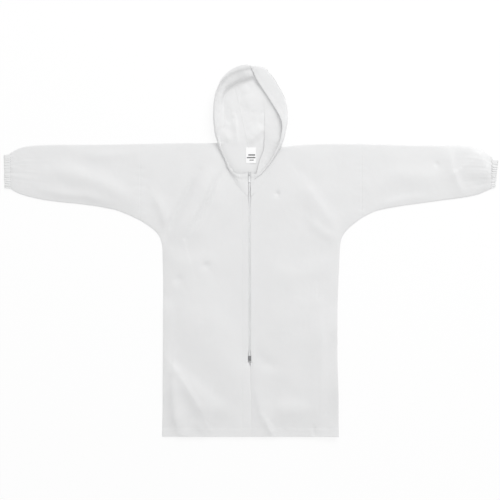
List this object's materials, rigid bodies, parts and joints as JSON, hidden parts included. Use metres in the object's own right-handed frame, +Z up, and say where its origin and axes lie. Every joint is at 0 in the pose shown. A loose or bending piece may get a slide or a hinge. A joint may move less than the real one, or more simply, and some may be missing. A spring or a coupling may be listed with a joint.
{
  "type": "hooded raincoat laid flat",
  "caption": "White hooded raincoat with a front zip and elastic cuffs, zipped up and laid flat on its back with the sleeves straight out.",
  "frame": {"origin": "on the surface that the coat lies on, at the middle of its outline", "axes": "+X towards the wearer's left sleeve, +Y from the hem to the hood, +Z up from the surface, out of the coat's front"},
  "size_m": [1.679, 1.2676, 0.041],
  "materials": {
    "raincloth": "smooth white waterproof sheet cloth with a faint grain and a soft sheen",
    "zip_tape": "white woven tape",
    "zip_coil": "white moulded coil",
    "zip_metal": "grey enamel on cast metal",
    "zip_dark": "dark grey enamel on cast metal",
    "label_satin": "white satin ribbon"
  },
  "bodies": {
    "coat": {"back": "raincloth", "front_right": "raincloth", "front_left": "raincloth", "sleeve_right": "raincloth", "sleeve_left": "raincloth", "cuff_right": "raincloth", "cuff_left": "raincloth", "hood_right": "raincloth", "hood_left": "raincloth", "hood_back_right": "raincloth", "hood_back_left": "raincloth", "zip_tape_right": "zip_tape", "zip_tape_left": "zip_tape", "zip_chain": "zip_coil", "zip_stop_right": "zip_metal", "zip_stop_left": "zip_metal", "zip_box": "zip_dark", "zip_slider": "zip_metal", "neck_label": "label_satin"},
    "pull": {"pull_tab": "zip_metal"}
  },
  "joints": [
    {"name": "pull_swing", "type": "hinge", "parent": "coat", "child": "pull", "pos_m": [-0.005, 0.2555, 0.0078], "axis": [-1, 0, 0], "range_deg": [0, 170]}
  ]
}
